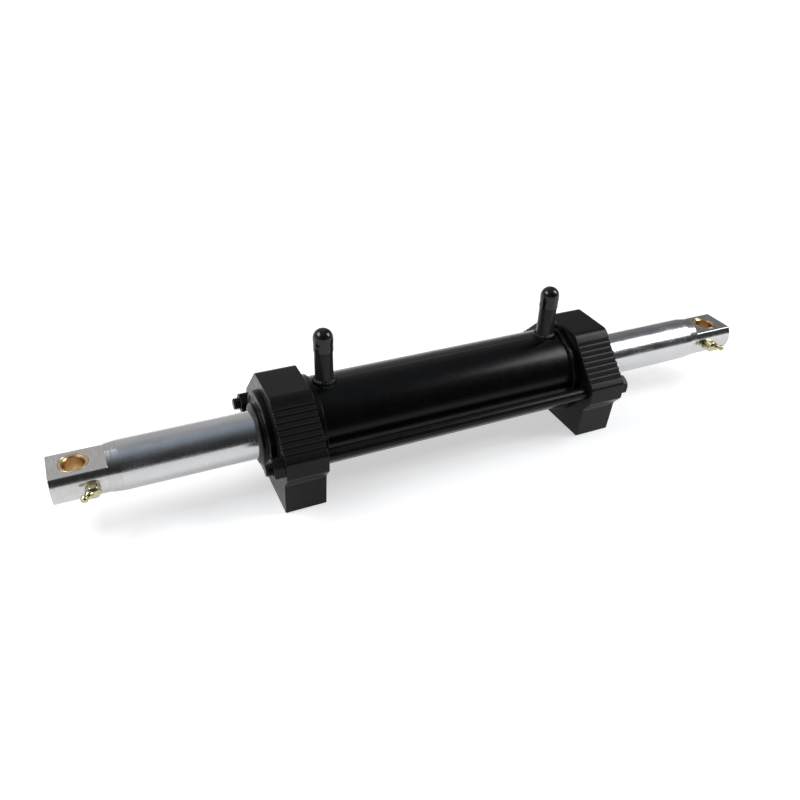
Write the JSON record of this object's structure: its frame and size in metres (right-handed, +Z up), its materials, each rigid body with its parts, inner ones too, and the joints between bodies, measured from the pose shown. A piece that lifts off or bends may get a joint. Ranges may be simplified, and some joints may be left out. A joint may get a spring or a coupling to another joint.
{
  "type": "double-rod hydraulic cylinder",
  "caption": "Double-rod steering cylinder: a chromed rod with flattened, bushed ends runs through a black barrel held by footed heads and long bolts.",
  "frame": {"origin": "midway between the two feet, on the face they stand on, under the rod's axis", "axes": "+X along the rod, +Z up towards the ports, the rod's axis 55 mm above the origin"},
  "size_m": [0.725, 0.132, 0.1507],
  "materials": {
    "black_paint": "semi-gloss black paint",
    "black_casting": "satin black paint",
    "black_fastener": "black painted steel",
    "hard_chrome": "polished hard chrome, ground flats",
    "bare_iron": "turned iron",
    "bronze": "turned bronze",
    "yellow_zinc": "yellow zinc plate",
    "spring_steel": "bright spring steel",
    "black_vinyl": "glossy black vinyl",
    "seal_rubber": "black nitrile",
    "seal_plastic": "moulded seal plastic"
  },
  "bodies": {
    "cylinder": {"barrel": "black_paint", "tie_bolt_front": "black_fastener", "tie_bolt_rear": "black_fastener", "tie_nuts": "black_fastener", "left_head": "black_casting", "right_head": "black_casting", "left_gland": "black_casting", "right_gland": "black_casting", "left_guide_bush": "bronze", "right_guide_bush": "bronze", "left_rod_seal": "seal_plastic", "right_rod_seal": "seal_plastic", "left_wiper": "seal_rubber", "right_wiper": "seal_rubber", "left_gland_oring": "seal_rubber", "right_gland_oring": "seal_rubber", "left_backup_ring": "seal_plastic", "right_backup_ring": "seal_plastic", "left_port_pipe": "black_paint", "right_port_pipe": "black_paint", "left_port_weld": "black_paint", "right_port_weld": "black_paint"},
    "piston": {"piston": "bare_iron", "piston_seal": "seal_plastic", "piston_energiser": "seal_rubber", "piston_static_oring": "seal_rubber", "left_wear_ring": "seal_plastic", "right_wear_ring": "seal_plastic"},
    "rod": {"rod": "hard_chrome", "left_snap_ring": "spring_steel", "right_snap_ring": "spring_steel", "left_pin_bush": "bronze", "right_pin_bush": "bronze", "left_grease_nipple": "yellow_zinc", "right_grease_nipple": "yellow_zinc"},
    "left_cap": {"left_port_cap": "black_vinyl"},
    "right_cap": {"right_port_cap": "black_vinyl"},
    "left_check_ball": {"left_nipple_ball": "spring_steel", "left_nipple_spring": "spring_steel"},
    "right_check_ball": {"right_nipple_ball": "spring_steel", "right_nipple_spring": "spring_steel"}
  },
  "joints": [
    {"name": "rod_slide", "type": "slide", "parent": "cylinder", "child": "piston", "axis": [1, 0, 0], "range_m": [-0.095, 0.095]},
    {"name": "rod_turn", "type": "hinge", "parent": "piston", "child": "rod", "pos_m": [0, 0, 0.055], "axis": [1, 0, 0], "continuous": true},
    {"name": "left_cap_pull", "type": "slide", "parent": "cylinder", "child": "left_cap", "axis": [0, 0, 1], "range_m": [0, 0.06]},
    {"name": "right_cap_pull", "type": "slide", "parent": "cylinder", "child": "right_cap", "axis": [0, 0, 1], "range_m": [0, 0.06]},
    {"name": "left_check_ball_push", "type": "slide", "parent": "rod", "child": "left_check_ball", "axis": [0.7071, 0.7071, 0], "range_m": [0, 0.0008], "stiffness_N_per_m": 200, "springref_m": -0.002},
    {"name": "right_check_ball_push", "type": "slide", "parent": "rod", "child": "right_check_ball", "axis": [-0.7071, 0.7071, 0], "range_m": [0, 0.0008], "stiffness_N_per_m": 200, "springref_m": -0.002}
  ]
}
